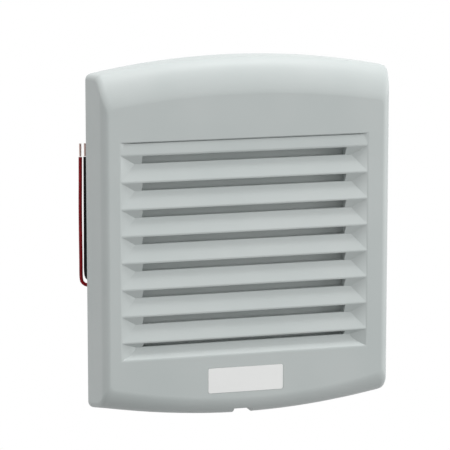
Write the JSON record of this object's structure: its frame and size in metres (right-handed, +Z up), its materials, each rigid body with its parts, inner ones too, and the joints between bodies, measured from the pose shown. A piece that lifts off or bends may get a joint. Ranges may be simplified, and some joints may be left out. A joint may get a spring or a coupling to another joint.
{
  "type": "cabinet filter fan",
  "caption": "Cabinet filter fan with a louvred cover that tilts open, a filter mat, a door frame, an axial fan, a wire guard and bare-ended leads.",
  "frame": {"origin": "centre of the square door cut-out, on the door's front face, where the gasket's rear face lies", "axes": "+Y into the cabinet along the fan's axis, +Z up, the louvred cover faces -Y"},
  "size_m": [0.117, 0.0589, 0.1364],
  "materials": {
    "cover_plastic": "fine matt moulded texture, pale grey",
    "filter_fibre": "non-woven synthetic fibre",
    "frame_plastic": "moulded, grey",
    "seal_foam": "closed-cell foam",
    "fan_plastic": "glass-filled, black",
    "plated_steel": "zinc plated",
    "ferrite": "bonded ferrite, dark grey",
    "ground_steel": "ground",
    "lamination_steel": "stacked sheet, dark",
    "winding_copper": "enamelled copper wire",
    "circuit_board": "solder mask, green",
    "plated_wire": "nickel plated wire",
    "red_insulation": "extruded, semi-gloss",
    "black_insulation": "extruded, semi-gloss",
    "copper_strands": "stripped and twisted"
  },
  "bodies": {
    "frame": {"base_frame": "frame_plastic", "door_gasket": "seal_foam", "filter_mat": "filter_fibre", "fan_housing": "fan_plastic", "front_bearing": "ground_steel", "rear_bearing": "ground_steel", "preload_spring": "ground_steel", "stator_core": "lamination_steel", "stator_coil_1": "winding_copper", "stator_coil_2": "winding_copper", "stator_coil_3": "winding_copper", "stator_coil_4": "winding_copper", "motor_board": "circuit_board", "finger_guard": "plated_wire", "fan_screw_1": "plated_steel", "fan_screw_2": "plated_steel", "fan_screw_3": "plated_steel", "fan_screw_4": "plated_steel", "red_lead": "red_insulation", "black_lead": "black_insulation", "red_strands": "copper_strands", "black_strands": "copper_strands"},
    "cover": {"front_cover": "cover_plastic"},
    "rotor": {"impeller": "fan_plastic", "rotor_yoke": "plated_steel", "rotor_magnet": "ferrite", "rotor_shaft": "ground_steel", "retaining_ring": "plated_steel"}
  },
  "joints": [
    {"name": "cover_tilt", "type": "hinge", "parent": "frame", "child": "cover", "pos_m": [0, -0.008, 0.0657], "axis": [-1, 0, 0], "range_deg": [0, 95]},
    {"name": "rotor_spin", "type": "hinge", "parent": "frame", "child": "rotor", "pos_m": [0, 0.025, 0], "axis": [0, 1, 0], "continuous": true}
  ]
}
